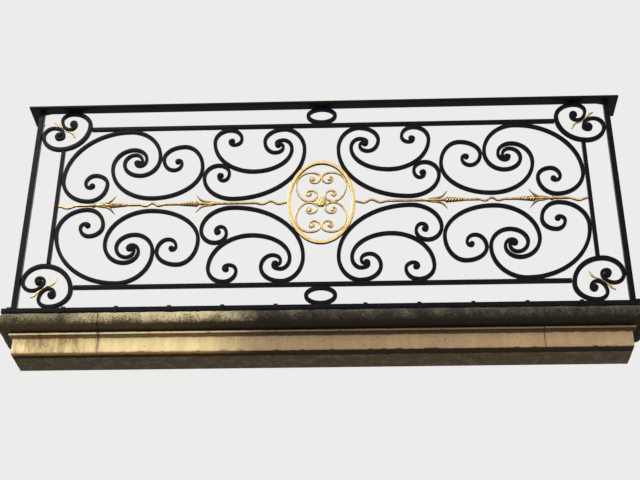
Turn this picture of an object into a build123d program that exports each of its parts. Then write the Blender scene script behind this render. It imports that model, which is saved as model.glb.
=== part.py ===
from build123d import *
import os

# Wrought iron balcony: a low scrollwork railing on a shallow moulded stone slab.
# Units are mm. The railing faces -Y, the house wall stands behind at +Y, +Z is up.
# The origin is the middle of the slab's flat seat, the face that rests on the wall's ledge.

# Stone slab
seat_depth = 152.0
slab_height = 154.0
nosing_height = 66.0
nosing_front = 52.0
fascia_half = 1155.0
nosing_side = 66.0
nosing_half = fascia_half + nosing_side
fillet_out = 14.0
fillet_height = 10.0
fillet_drop = 8.0

# Bars, and the clearance left where two pieces meet
post = 22.0
rail = 20.0
bar = 16.0
half_bar = bar / 2
fit = 0.3

# Posts, bottom rail and its feet
rail_back = 97.0
post_x = 1183.0
rail_reach = 468.0
rail_over = 47.0
foot_height = 42.0
foot_first = 171.5
foot_last = 192.7
foot_width = 15.0
strap_thick = 4.0
wall_y = seat_depth / 2
rail_y = wall_y - rail_back
panel_z = slab_height + foot_height + rail + rail_reach

# Handrail
handrail_over = 49.0
handrail_width = 47.0
return_width = 35.0
gusset_long = 47.0
gusset_deep = 20.0
handrail_thick = 12.0
handrail_front = 38.0

# Inner frame, set in from the posts and rails
frame_in = 111.0
frame_down = 91.0
inner_x = post_x - frame_in
inner_z = rail_reach - frame_down

# Ovals, medallion and gilt bar
oval_half = 64.0
ring_half_x = 137.0
ring_face = 13.5
ring_depth = 14.0
ornament_bar = 8.0
rosette_radius = 21.8
rosette_thick = 14.0
rod = 11.0
twist_side = 14.5
knob_radius = 9.0
barb_thick = 8.0
flame_half = 2.1
flame_depth = 8.0

# The scrolls and the medallion's height are drawn from the middle of the panel and stretched to the
# inner frame.
# The corner scrolls are drawn from the inner frame's corner, across its gap to post and rail.
across = inner_x / 1072
up = inner_z / 377
corner_across = frame_in / 111
corner_up = frame_down / 91
heavy = half_bar / 8
ring_half_z = 196 * up

os.makedirs("parts", exist_ok=True)
nodes = {}

outward = {"T": (0, 1), "B": (0, -1), "L": (-1, 0), "R": (1, 0)}


def placed(turns, x0=0.0, z0=0.0, fx=across, fz=up, thick=heavy):
    """Turning points moved and stretched from the drawing to the panel."""
    return [(kind, x0 + fx * x, z0 + fz * z, thick * half) for kind, x, z, half in turns]


def shifted(turn, sign):
    """The outer (+1) or inner (-1) point of the bar at a turning point."""
    kind, x, z, half = turn
    return (x + sign * half * outward[kind][0], z + sign * half * outward[kind][1])


def side(turns, sign):
    """One edge of a bent bar: quarter ellipses from one turning point to the next."""
    points = [shifted(turn, sign) for turn in turns]
    arcs = []
    for turn, p, q in zip(turns, points, points[1:]):
        if turn[0] in "LR":
            p, q = q, p
        wide, high = q[0] - p[0], p[1] - q[1]
        if wide > 0:
            start = 0 if high > 0 else 270
        else:
            start = 90 if high > 0 else 180
        middle = (p[0], q[1])
        arcs.append(EllipticalCenterArc(middle, abs(wide), abs(high), start, arc_size=90))
    return arcs


def bent(turns):
    """A flat bar bent through turning points: T top, B bottom, L left and R right."""
    caps = [Line(shifted(turn, 1), shifted(turn, -1)) for turn in (turns[0], turns[-1])]
    return make_face(Wire(side(turns, 1) + side(turns, -1) + caps))


def eyes(spots, x0=0.0, z0=0.0, fx=across, fz=up, thick=heavy):
    """The forged round ends of the bars."""
    thick *= (fx + fz) / 2
    return [Pos(x0 + fx * x, z0 + fz * z) * Circle(thick * radius) for x, z, radius in spots]


def stand(sketch, depth):
    """Stands a drawing of the panel upright on the rail line, half of its depth each side."""
    upright = Plane((0, rail_y, panel_z), x_dir=(1, 0, 0), z_dir=(0, -1, 0))
    return extrude(upright * sketch, depth / 2, both=True)


def four(name, right):
    """The same piece in all four quarters of the panel."""
    left = mirror(right, Plane.YZ)
    flip = Plane.XY.offset(panel_z)
    nodes[name + "_upper_right"] = right
    nodes[name + "_upper_left"] = left
    nodes[name + "_lower_right"] = mirror(right, flip)
    nodes[name + "_lower_left"] = mirror(left, flip)


def block(x0, x1, y0, y1, z0, z1):
    box = Box(x1 - x0, y1 - y0, z1 - z0)
    return Pos((x0 + x1) / 2, (y0 + y1) / 2, (z0 + z1) / 2) * box


# Stone slab: a bullnosed top stone over a fillet and a plain fascia
face_y = -seat_depth / 2
bed_top = slab_height - nosing_height
top_stone = block(-nosing_half, nosing_half, face_y - nosing_front, wall_y, bed_top, slab_height)
fronts = top_stone.edges().filter_by(Axis.X).group_by(Axis.Y)[0]
ends = top_stone.edges().filter_by(Axis.Y)
nodes["slab_nosing"] = fillet(list(fronts) + list(ends), nosing_height / 2 - 0.5)

fascia = block(-fascia_half, fascia_half, face_y, wall_y, 0, bed_top)
band_top = bed_top - fillet_drop
band_half = fascia_half + fillet_out
band = block(
    -band_half, band_half, face_y - fillet_out, wall_y, band_top - fillet_height, band_top
)
nodes["slab_fascia"] = fascia + band


def mitred(half, width, side_width, y0, z0, thick):
    """Front bar and right return of a rail, cut from outer to inner corner."""
    near = y0 + width
    inside = half - side_width
    front = Polyline((-half, y0), (half, y0), (inside, near), (-inside, near), (-half, y0))
    back = Polyline((half, y0), (half, wall_y), (inside, wall_y), (inside, near), (half, y0))
    plans = [Pos(0, 0, z0) * make_face(line) for line in (front, back)]
    return [extrude(plan, thick) for plan in plans]


# Handrail: a flat bar with a narrower return to the wall at each end, and a small gusset behind it
# in each corner
hand_y = rail_y - handrail_front
hand_z = panel_z + rail_reach
front, right = mitred(
    post_x + handrail_over, handrail_width, return_width, hand_y, hand_z, handrail_thick
)
inside = post_x + handrail_over - return_width
near = hand_y + handrail_width
gusset_tips = (inside, near + gusset_deep), (inside - gusset_long, near)
gusset = make_face(Polyline((inside, near), *gusset_tips, (inside, near)))
gusset = extrude(Pos(0, 0, hand_z) * gusset, handrail_thick)
nodes["handrail_front"] = front + gusset + mirror(gusset, Plane.YZ)
nodes["handrail_return_right"] = right
nodes["handrail_return_left"] = mirror(right, Plane.YZ)

# Bottom rail with its returns, run past the posts like the handrail
low_z = panel_z - rail_reach - rail
front, right = mitred(post_x + rail_over, rail, rail, rail_y - rail / 2, low_z, rail)
nodes["bottom_rail_front"] = front
nodes["bottom_rail_return_right"] = right
nodes["bottom_rail_return_left"] = mirror(right, Plane.YZ)

# Feet: a strap round the bottom rail on a short leg set on the stone, the outermost against the post
strap = rail / 2 + strap_thick
half_foot = foot_width / 2
front_y, back_y = rail_y - half_foot, rail_y + half_foot
feet = []
foot_pitch = (post_x - foot_last - foot_first) / 4
foot_places = [foot_first + foot_pitch * i for i in range(5)]
foot_places.append(post_x + post / 2 + half_foot + fit)
for place in foot_places:
    for x in (-place, place):
        hoop = block(
            x - half_foot, x + half_foot,
            rail_y - strap, rail_y + strap, low_z - strap_thick, low_z + rail + strap_thick,
        )
        hoop -= block(
            x - foot_width, x + foot_width,
            rail_y - rail / 2, rail_y + rail / 2, low_z, low_z + rail,
        )
        leg_top = low_z - strap_thick
        leg = block(x - half_foot, x + half_foot, front_y, back_y, slab_height, leg_top)
        feet.append(hoop + leg)
nodes["rail_feet"] = Compound(feet)

# Outer posts
for name, sx in (("left", -1), ("right", 1)):
    nodes["post_" + name] = block(
        sx * post_x - post / 2, sx * post_x + post / 2,
        rail_y - post / 2, rail_y + post / 2, panel_z - rail_reach, panel_z + rail_reach,
    )

# Corner scrolls: a C with a thick back that carries the corner of the inner frame
corner_frame = (inner_x, inner_z, corner_across, corner_up)
to_handrail = (frame_down - half_bar - fit) / corner_up
to_post = (frame_in - post / 2 - half_bar - fit) / corner_across
back_left = ("L", -100, 17, 9.5)
back_low = ("B", 16, -98, 9.5)
corner = bent(placed([
    ("T", -28, 42, 6), ("L", -39, 28, 6.5), ("B", -14, 3.5, 6.5), ("R", 21, 50, 7),
    ("T", -22, to_handrail, 8), back_left, back_low, ("R", to_post, -30, 8),
    ("T", 52, 11, 7), ("L", 7.5, -31, 6.5), ("B", 28, -45, 6.5), ("R", 40, -32, 6),
], *corner_frame))
for eye in eyes([(-25, 30, 14), (29, -25, 14)], *corner_frame):
    corner = corner + eye
four("corner_scroll", stand(corner, bar))

# Inner frame: its bars end on the backs of the corner scrolls
post_end = shifted(placed([back_low], *corner_frame)[0], 1)[1] - fit
rail_end = shifted(placed([back_left], *corner_frame)[0], 1)[0] - fit
near_y, far_y = rail_y - half_bar, rail_y + half_bar
for name, sx in (("left", -1), ("right", 1)):
    nodes["inner_post_" + name] = block(
        sx * inner_x - half_bar, sx * inner_x + half_bar,
        near_y, far_y, panel_z - post_end, panel_z + post_end,
    )
for name, sz in (("bottom", -1), ("top", 1)):
    middle = panel_z + sz * inner_z
    nodes["inner_rail_" + name] = block(
        -rail_end, rail_end, near_y, far_y, middle - half_bar, middle + half_bar
    )

# Gilt flame: a thin wavy rod, hammered thinner where the two coils of each corner scroll pinch it
flame = [
    (54, 42, 1.2), (40, 33, 1.5), (31, 21, 1.4), (22, 13, 1), (13, 5.2, 1), (-1, -6, 1),
    (-18, -11, 1.2), (-31, -22, 1.5), (-40, -40, 1.2),
]
edges = []
for sign in (1, -1):
    points = []
    for x, z, swell in flame:
        half = sign * swell * flame_half
        points.append((inner_x + corner_across * x - 0.8 * half, inner_z + corner_up * z + half))
    edges.append(Spline(*points))
upper, lower = edges
tips = [Line(upper @ 0, lower @ 0), Line(upper @ 1, lower @ 1)]
four("gilt_flame", stand(make_face(Wire([upper, lower] + tips)), flame_depth))

# End scrolls: two long bars that share one forged eye
at_post = (inner_x - bar - fit) / across
at_rail = (inner_z - bar - fit) / up
scroll = bent(placed([
    ("B", 942, 85.5, 6.5), ("R", 962.5, 105, 7), ("T", 926, 144.5, 8), ("L", 872.5, 98, 8),
    ("B", 944, 20, 8), ("R", at_post, 126, 8), ("T", 798, at_rail, 8), ("L", 664.5, 225, 8),
    ("B", 742, 141, 8), ("R", 810, 198, 8), ("T", 768, 244, 7), ("L", 738, 212, 6.5),
    ("B", 753, 198, 6),
]))
scroll = scroll + bent(placed([
    ("R", 766, 204, 6), ("B", 748, 188.5, 6.5), ("L", 720.5, 220, 7), ("T", 776, 268.7, 8),
    ("R", 857, 180, 8), ("B", 685, 30, 8), ("L", 487, 172, 8), ("T", 566, 280.5, 8),
    ("R", 648.2, 220, 8), ("B", 605, 165, 7), ("L", 573, 197, 6.5), ("T", 588, 214, 6),
]))
for eye in eyes([(935, 94, 12.5), (755, 204, 12.5), (591, 206, 11)]):
    scroll = scroll + eye
four("end_scrolls", stand(scroll, bar))

# Middle scrolls: the pair beside the medallion, joined the same way
at_ring = (ring_half_x - 67.4) / across
scroll = bent(placed([
    ("R", 420, 131, 6), ("B", 399, 110, 6.5), ("L", 375.5, 143, 7), ("T", 420, 184, 8),
    ("R", 476.6, 125, 8), ("B", 355, 21, 8), ("L", at_ring, 254, 8), ("T", 155, at_rail, 8),
    ("R", 234, 298, 8), ("B", 190, 244, 7), ("L", 157.5, 270, 6.5), ("T", 175, 288, 6),
]))
scroll = scroll + bent(placed([
    ("T", 370, 311, 5), ("R", 381, 302, 5.5), ("B", 360, 286, 6.5), ("L", 330.5, 314, 7),
    ("T", 380, at_rail, 8), ("R", 441, 300, 8), ("B", 275, 152, 8), ("L", 122, 260, 8),
    ("T", 158, 306, 7), ("R", 188, 290, 6), ("B", 180, 280, 5.5), ("L", 171, 288, 5),
]))
for eye in eyes([(409, 134, 11.5), (370, 305, 12), (179, 283, 14)]):
    scroll = scroll + eye
four("middle_scrolls", stand(scroll, bar))

# Ovals that brace the inner frame off the two rails
oval_mid = (rail_reach + inner_z + half_bar) / 2
oval_reach = (frame_down - half_bar) / 2 - fit
oval = Ellipse(oval_half, oval_reach) - Ellipse(oval_half - bar, oval_reach - bar)
for name, sz in (("bottom", -1), ("top", 1)):
    nodes["oval_" + name] = stand(Pos(0, sz * oval_mid) * oval, bar)

# Medallion: a gilt ring with four small scrolls round a rosette
hole_x, hole_z = ring_half_x - ring_face, ring_half_z - ring_face
nodes["medallion_ring"] = stand(Ellipse(ring_half_x, ring_half_z) - Ellipse(hole_x, hole_z), ring_depth)
small_frame = (0, 0, ring_half_x / 137, ring_half_z / 196, ornament_bar / 8)
small = bent(placed([
    ("T", 35, 121, 2.5), ("R", 47, 109, 3), ("B", 28, 90, 3.5), ("L", 2.8, 116, 4),
    ("T", 42, 141, 4), ("R", 101, 80, 4), ("B", 48, 2.8, 4), ("L", 16, 30, 4),
    ("T", 42, 54, 3.5), ("R", 60, 38, 3), ("B", 47, 27, 2.5),
], *small_frame))
for eye in eyes([(34, 110, 10), (46, 37, 9)], *small_frame):
    small = small + eye
tie = Pos(0.76 * hole_x, 0.69 * hole_z) * Rot(0, 0, 50) * Rectangle(2.6 * ring_face, ring_face / 2)
small = (small + tie) & Ellipse(hole_x - fit, hole_z - fit)
pair = small + mirror(small, Plane.YZ)
nodes["medallion_scrolls"] = stand(pair + mirror(pair, Plane.XZ), ornament_bar)
rosette = Rot(90, 0, 0) * Cylinder(rosette_radius, rosette_thick)
nodes["medallion_rosette"] = Pos(0, rail_y, panel_z) * rosette


def ripple(points, half):
    """A bar that rises and falls between crests and troughs, level at each of them."""
    sides = []
    for shift in (half, -half):
        for (px, pz), (qx, qz) in zip(points, points[1:]):
            middle = (px + qx) / 2
            start, end = (px, pz + shift), (qx, qz + shift)
            sides.append(Bezier(start, (middle, start[1]), (middle, end[1]), end))
    ends = [Line((x, z + half), (x, z - half)) for x, z in (points[0], points[-1])]
    return make_face(Wire(sides + ends))


def lathe(x0, x1, radius):
    turned = Rot(90, 0, 0) * Rot(0, 90, 0) * Cylinder(radius, x1 - x0)
    return Pos((x0 + x1) / 2, rail_y, panel_z) * turned


def barb(points):
    """A pair of thorns drawn out of the rod: outer edge to the tip, inner edge back."""
    a, b, c, tip, d, e, root = [(across * x, rod / 11 * z) for x, z in points]
    thorn = make_face(Wire([Bezier(a, b, c, tip), Bezier(tip, d, e, root), Line(root, a)]))
    return stand(thorn + mirror(thorn, Plane.XZ), barb_thick)


# Gilt bar: round rod with waved, twisted and barbed lengths, from the ring to the inner post
waves = [
    [(171, -7.5), (202, 7.5), (237, -7.5), (268, 0)],
    [(630, 0), (655, -9), (682, 9), (709, -9), (735, 0)],
    [(995, 0), (1031, -13)],
]
waves = [[(across * x, rod / 11 * z) for x, z in points] for points in waves]
waves[0].insert(0, (ring_half_x + fit, 0))
waves[2].append((inner_x - half_bar - fit, -2))
gilt = lathe(267 * across, 631 * across, rod / 2) + lathe(734 * across, 996 * across, rod / 2)
for points in waves:
    gilt = gilt + stand(ripple(points, rod / 2 - 0.5), rod - 1)
for x0, x1, turns in ((497, 574, 1.25), (783, 853, 1.1)):
    start = Plane((x0 * across, rail_y, panel_z), x_dir=(0, 1, 0), z_dir=(1, 0, 0))
    square = start * Rectangle(twist_side, twist_side)
    run = (x1 - x0) * across
    twist = Solid.extrude_linear_with_rotation(
        square.face(), start.origin, Vector(run, 0, 0), 360 * turns
    )
    gilt = gilt + twist
gilt = gilt + Pos(920 * across, rail_y, panel_z) * Rot(0, 90, 0) * Sphere(knob_radius)
gilt = gilt + barb([(916, 2), (870, 12), (852, 22), (831, 46), (846, 14), (860, 3), (882, 0)])
gilt = gilt + barb([(410, 2), (468, 12), (487, 21), (505, 43), (493, 13), (478, 3), (452, 0)])
nodes["gilt_bar_right"] = gilt
nodes["gilt_bar_left"] = mirror(gilt, Plane.YZ)

for name, solid in nodes.items():
    solid.label = name
    export_step(solid, "parts/" + name + ".step")
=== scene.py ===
import math

import bpy
from mathutils import Matrix, Vector, noise


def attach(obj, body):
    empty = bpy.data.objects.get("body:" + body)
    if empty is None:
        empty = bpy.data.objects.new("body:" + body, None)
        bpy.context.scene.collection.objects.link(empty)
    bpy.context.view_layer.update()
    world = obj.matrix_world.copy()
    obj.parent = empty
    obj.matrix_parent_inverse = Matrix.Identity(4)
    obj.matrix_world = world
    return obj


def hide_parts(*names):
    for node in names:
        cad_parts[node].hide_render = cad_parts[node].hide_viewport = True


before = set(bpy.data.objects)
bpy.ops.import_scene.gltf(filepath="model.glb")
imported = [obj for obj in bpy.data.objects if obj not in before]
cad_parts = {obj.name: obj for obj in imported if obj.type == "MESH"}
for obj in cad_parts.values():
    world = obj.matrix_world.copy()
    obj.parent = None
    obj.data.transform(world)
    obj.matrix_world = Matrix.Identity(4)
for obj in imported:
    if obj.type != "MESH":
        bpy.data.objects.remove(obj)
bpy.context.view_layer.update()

# View: a passer-by in the street looks up at the balcony, a little from the right of its middle,
# with a long lens.

street_eye = Vector((0.1789, -4.2319, -2.0115))
tilt, turn, lean = math.radians(30.849), math.radians(2.4846), math.radians(0.374)
ahead = Vector((-math.sin(turn) * math.cos(tilt), math.cos(turn) * math.cos(tilt), math.sin(tilt)))
level = Vector((math.cos(turn), math.sin(turn), 0))
above = level.cross(ahead)
view_right = math.cos(lean) * level + math.sin(lean) * above
view_up = -math.sin(lean) * level + math.cos(lean) * above
street_view = bpy.data.objects.new("street_view", bpy.data.cameras.new("street_view"))
street_view.data.lens = 70.09
street_view.data.sensor_width = 36
street_view.data.clip_end = 100
street_view.matrix_world = (
    Matrix.Translation(street_eye) @ Matrix((view_right, view_up, -ahead)).transposed().to_4x4()
)
bpy.context.scene.collection.objects.link(street_view)
bpy.context.scene.camera = street_view
bpy.context.scene.view_settings.view_transform = "Standard"


# Floor: a plain pale floor that carries the slab and melts into the backdrop further off. It shows
# from above only, so that the street view looks up past it, and it takes no light away from the
# stone's underside.

def put(tree, kind, inputs=(), **settings):
    """Adds a shader node, with a value or another node's output in each named input."""
    node = tree.nodes.new("ShaderNode" + kind)
    for key, value in settings.items():
        setattr(node, key, value)
    for key, value in dict(inputs).items():
        if isinstance(value, bpy.types.NodeSocket):
            tree.links.new(value, node.inputs[key])
        else:
            node.inputs[key].default_value = value
    return node


def calc(operation, a, b=0, c=0):
    """A sum in the tree of the first value that is a node's output."""
    tree = next(value.id_data for value in (a, b, c) if isinstance(value, bpy.types.NodeSocket))
    return put(tree, "Math", {0: a, 1: b, 2: c}, operation=operation).outputs[0]


def times(a, b):
    return calc("MULTIPLY", a, b)


def new_material(name):
    """A material with an empty tree, and the place on the object that its patterns follow."""
    material = bpy.data.materials.new(name)
    material.use_nodes = True
    tree = material.node_tree
    tree.nodes.clear()
    return material, tree, put(tree, "TexCoord").outputs["Object"]


def backdrop_rays(tree):
    """1 for rays from the eye, off gloss or through glass, and 0 for the rays that bring light."""
    ray = put(tree, "LightPath").outputs
    seen = calc("MAXIMUM", ray["Is Camera Ray"], ray["Is Glossy Ray"])
    return calc("MAXIMUM", seen, ray["Is Transmission Ray"])


pale = (0.84, 0.84, 0.83, 1)
floor_reach, floor_level = 16, -0.0005
melt_start, melt_end = 1.6, 4
pale_floor, tree, place = new_material("pale_floor")
upper_side = calc("SUBTRACT", 1, put(tree, "NewGeometry").outputs["Backfacing"])
matt = put(tree, "BsdfPrincipled", {"Base Color": pale, "Roughness": 0.9})
far = put(tree, "Emission", {"Color": pale, "Strength": 1})
distance = put(tree, "VectorMath", {0: place}, operation="LENGTH").outputs["Value"]
melting = put(
    tree, "MapRange", {0: distance, 1: melt_start, 2: melt_end}, interpolation_type="SMOOTHSTEP"
)
ground = put(tree, "MixShader", {0: melting.outputs[0], 1: matt.outputs[0], 2: far.outputs[0]})
seen = times(backdrop_rays(tree), upper_side)
clear = put(tree, "BsdfTransparent")
shown = put(tree, "MixShader", {0: seen, 1: clear.outputs[0], 2: ground.outputs[0]})
put(tree, "OutputMaterial", {"Surface": shown.outputs[0]})

rim = [math.tau * k / 64 for k in range(64)]
rim_points = [(floor_reach * math.cos(a), floor_reach * math.sin(a), floor_level) for a in rim]
floor_mesh = bpy.data.meshes.new("floor")
floor_mesh.from_pydata(rim_points, [], [range(64)])
floor_mesh.materials.append(pale_floor)
floor = bpy.data.objects.new("floor", floor_mesh)
bpy.context.scene.collection.objects.link(floor)

# Light: soft lamps from the street side, one high on the left, one low near the eye, a weak one
# behind, in a pale world.

world = bpy.data.worlds.new("pale_world")
bpy.context.scene.world = world
world.use_nodes = True
tree = world.node_tree
tree.nodes.clear()
ambient = put(tree, "Background", {"Color": (0.93, 0.96, 1, 1), "Strength": 0.5})
backdrop = put(tree, "Background", {"Color": pale, "Strength": 1})
shown = put(tree, "MixShader", {0: backdrop_rays(tree), 1: ambient.outputs[0], 2: backdrop.outputs[0]})
put(tree, "OutputWorld", {"Surface": shown.outputs[0]})

aim = Vector((0, 0, 0.5))
for name, place, size, power in (
    ("high_left", (-3.4, -4.0, 4.8), 2.4, 290),
    ("low_street", (1.6, -5.4, -0.6), 2.4, 90),
    ("behind", (1.5, 4.5, 3.5), 3.0, 60),
):
    lamp = bpy.data.objects.new(name, bpy.data.lights.new(name, "AREA"))
    lamp.data.size = size
    lamp.data.energy = power
    lamp.location = place
    lamp.rotation_euler = (aim - Vector(place)).to_track_quat("-Z", "Y").to_euler()
    bpy.context.scene.collection.objects.link(lamp)


# Top stone: three limestone blocks butted end to end, worked to a round nose on the front and ends.
# Rain has roughened and spotted the upper half; the under half is much darker.

mm = 0.001


class Shell:
    """Points in millimetres and the faces between them, gathered for one piece."""

    def __init__(self):
        self.points, self.faces, self.finish = [], [], []

    def add(self, points, faces, finish=0):
        first = len(self.points)
        self.points += points
        self.faces += [[first + k for k in face] for face in faces]
        self.finish += [finish] * len(faces)


def make_piece(name, shell, materials, node, smooth=35, flip=(1, 1), middle=0):
    """Turns a shell to a piece that stands for a CAD node; flip mirrors it left-right and up-down."""
    points = [
        (flip[0] * x * mm, y * mm, (middle + flip[1] * (z - middle)) * mm) for x, y, z in shell.points
    ]
    inside_out = flip[0] * flip[1] < 0
    faces = [face[::-1] for face in shell.faces] if inside_out else shell.faces
    mesh = bpy.data.meshes.new(name)
    mesh.from_pydata(points, [], faces)
    for material in materials:
        mesh.materials.append(material)
    mesh.polygons.foreach_set("material_index", shell.finish)
    mesh.shade_smooth()
    mesh.set_sharp_from_angle(angle=math.radians(smooth))
    mesh.validate()
    piece = bpy.data.objects.new(name, mesh)
    bpy.context.scene.collection.objects.link(piece)
    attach(piece, "root")
    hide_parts(node)


def new_group(name, takes, gives):
    """An empty shader group; it takes a place and numbers, and gives values."""
    group = bpy.data.node_groups.new(name, "ShaderNodeTree")
    for label in takes:
        kind = "NodeSocketVector" if label == "Place" else "NodeSocketFloat"
        group.interface.new_socket(label, in_out="INPUT", socket_type=kind)
    for label in gives:
        group.interface.new_socket(label, in_out="OUTPUT", socket_type="NodeSocketFloat")
    return group, group.nodes.new("NodeGroupInput").outputs, group.nodes.new("NodeGroupOutput").inputs


def place_group(group, **inputs):
    return put(inputs["Place"].id_data, "Group", inputs, node_tree=group).outputs


def stretched(place, scale, turned=(0, 0, 0)):
    """The place turned and scaled, which draws a pattern out along the smaller scale."""
    inputs = {"Vector": place, "Rotation": turned, "Scale": scale}
    return put(place.id_data, "Mapping", inputs).outputs[0]


def cloud(place, scale, detail, rough):
    """Soft cloudy noise, 0 to 1."""
    inputs = {"Vector": place, "Scale": scale, "Detail": detail, "Roughness": rough}
    return put(place.id_data, "TexNoise", inputs).outputs["Fac"]


def swing(place, scale, detail, rough):
    """The same noise, swinging both ways from 0."""
    return calc("SUBTRACT", cloud(place, scale, detail, rough), 0.5)


def add_part(base, other, share):
    """The base, with a share of the other value added."""
    return calc("MULTIPLY_ADD", other, share, base)


def step(value, start, end, low=0, high=1):
    """Rises from low to high as the value goes from start to end."""
    return put(value.id_data, "MapRange", {0: value, 1: start, 2: end, 3: low, 4: high}).outputs[0]


def tint(mask, under, over, share=1):
    """One colour laid over another by a mask, or by a share of it."""
    factor = mask if share == 1 else times(mask, share)
    return put(mask.id_data, "Mix", {0: factor, 6: under, 7: over}, data_type="RGBA").outputs[2]


def rgb(red, green, blue):
    """A screen colour, 0 to 255, as the linear colour that the shader takes."""
    part = [v / 255 for v in (red, green, blue)]
    return tuple(v / 12.92 if v < 0.04 else ((v + 0.055) / 1.055) ** 2.4 for v in part) + (1,)


def finish_surface(colour, rough, height, relief, depth, gloss=0.5, metal=0):
    """Joins a material's colour, roughness and relief in its shader."""
    tree = colour.id_data
    bump = put(tree, "Bump", {"Strength": relief, "Distance": depth, "Height": height})
    shader = put(tree, "BsdfPrincipled", {
        "Base Color": colour, "Roughness": rough, "Specular IOR Level": gloss, "Metallic": metal,
        "Normal": bump.outputs[0],
    })
    put(tree, "OutputMaterial", {"Surface": shader.outputs[0]})


# Limestone grain: pale and dark specks, and small pits as height.
stone_grain, takes, gives = new_group("limestone_grain", ("Place", "Speck", "Pits"), ("Specks", "Height"))
tree = stone_grain
fine = cloud(takes["Place"], takes["Speck"], 3, 0.7)
patch = cloud(takes["Place"], times(takes["Speck"], 0.12), 5, 0.65)
pores = put(tree, "TexVoronoi", {"Vector": takes["Place"], "Scale": times(takes["Speck"], 0.5)})
hole = times(step(pores.outputs["Distance"], 0.05, 0.32, 1, 0), takes["Pits"])
hole = times(hole, step(patch, 0.42, 0.6))
mottle = calc("ADD", times(fine, 0.6), times(patch, 0.4))
specks = calc("SUBTRACT", mottle, times(hole, 0.3))
tree.links.new(step(specks, 0.3, 0.7), gives["Specks"])
tree.links.new(calc("SUBTRACT", times(mottle, 0.6), hole), gives["Height"])

# Rain streaks: dirt drawn down the stone in narrow runs.
rain_streaks, takes, gives = new_group("rain_streaks", ("Place", "Width"), ("Streaks",))
tree = rain_streaks
drawn = stretched(takes["Place"], (1, 1, 0.12))
runs = cloud(drawn, takes["Width"], 4, 0.7)
broad = cloud(drawn, times(takes["Width"], 0.2), 2, 0.5)
mixed = calc("ADD", times(runs, 0.55), times(broad, 0.45))
tree.links.new(step(mixed, 0.42, 0.62), gives["Streaks"])

joint_x = 830
bed_start, bed_end = 0.0735, 0.0752


def from_joint(across, wander, sway):
    """The distance in metres to the nearer of the two joints, whose line sways a little."""
    swayed = calc("ABSOLUTE", add_part(across, wander, sway))
    return calc("ABSOLUTE", calc("SUBTRACT", swayed, joint_x * mm))


# The top stone's colours: pale to the left of the middle, painted sunlight over washed stone; mossy at
# the left end; painted shade over dirtier stone elsewhere; spots, streaks, and a much darker lower half.
weathered_stone, tree, place = new_material("weathered_limestone")
grain = place_group(stone_grain, Place=place, Speck=240, Pits=1)
specks = grain["Specks"]
streak = place_group(rain_streaks, Place=place, Width=26)
axis = put(tree, "SeparateXYZ", {0: place}).outputs
along = add_part(axis[0], swing(place, 5, 5, 0.6), 0.5)
# Pale left of the middle: painted sunlight over washed stone.
sunlit_washed_part = times(step(along, -0.92, -0.84), step(along, -0.24, -0.42))
mossy = step(along, -0.84, -0.92)
drift = swing(stretched(place, (1, 1, 0.5)), 15, 5, 0.7)
slanted = stretched(place, (1, 1, 0.6), (0, 0.6, 0))
low_more = step(axis[2], 0.142, 0.112, -0.045, 0.035)
dark_spots = calc("ADD", cloud(slanted, 210, 6, 0.9), low_more)
dark_spots = step(add_part(dark_spots, drift, -0.45), 0.51, 0.58)
high_more = step(axis[2], 0.11, 0.15, -0.04, 0.03)
pale_spots = add_part(cloud(place, 170, 6, 0.85), drift, 0.45)
pale_spots = step(calc("ADD", pale_spots, high_more), 0.52, 0.6)
sunlit_washed_tone = tint(specks, rgb(176, 156, 112), rgb(250, 232, 184))
sunlit_washed_tone = tint(dark_spots, sunlit_washed_tone, rgb(92, 78, 50))
green = tint(specks, rgb(98, 92, 66), rgb(156, 146, 112))
green = tint(dark_spots, green, rgb(58, 54, 36))
# Elsewhere painted shade over dirtier stone, with pale and dark spots.
shaded_dirty_tone = tint(specks, rgb(44, 40, 32), rgb(76, 70, 59))
shaded_dirty_tone = tint(pale_spots, shaded_dirty_tone, rgb(126, 119, 100), 0.75)
shaded_dirty_tone = tint(dark_spots, shaded_dirty_tone, rgb(24, 21, 17), 0.85)
colour = tint(sunlit_washed_part, tint(mossy, shaded_dirty_tone, green), sunlit_washed_tone)
colour = tint(streak["Streaks"], colour, rgb(46, 40, 28), 0.3)
wander = swing(place, 34, 6, 0.8)
darker_lower_half = step(add_part(axis[2], wander, 0.034), 0.1105, 0.0985)
# The lower half much darker, lighter towards the left as painted sunlight.
under = tint(specks, rgb(28, 21, 14), rgb(56, 44, 31))
under = tint(step(along, -0.2, -0.6, 0, 0.6), under, rgb(88, 70, 44))
colour = tint(darker_lower_half, colour, under)
broken = step(cloud(place, 75, 3, 0.6), 0.42, 0.56, 0.15, 0.75)
seam = times(step(from_joint(axis[0], wander, 0.016), 0.005, 0.001), broken)
colour = tint(seam, colour, rgb(36, 28, 19))
bed = tint(specks, rgb(112, 102, 84), rgb(158, 146, 124))
colour = tint(step(axis[1], bed_start, bed_end), colour, bed)
height = add_part(grain["Height"], dark_spots, -0.35)
finish_surface(colour, 0.93, height, 0.7, 0.0025, gloss=0.2)

mortar, _, place = new_material("dark_mortar")
grain = place_group(stone_grain, Place=place, Speck=500, Pits=0.6)
colour = tint(grain["Specks"], rgb(38, 32, 24), rgb(78, 68, 52))
finish_surface(colour, 0.95, grain["Height"], 0.5, 0.001)


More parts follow.
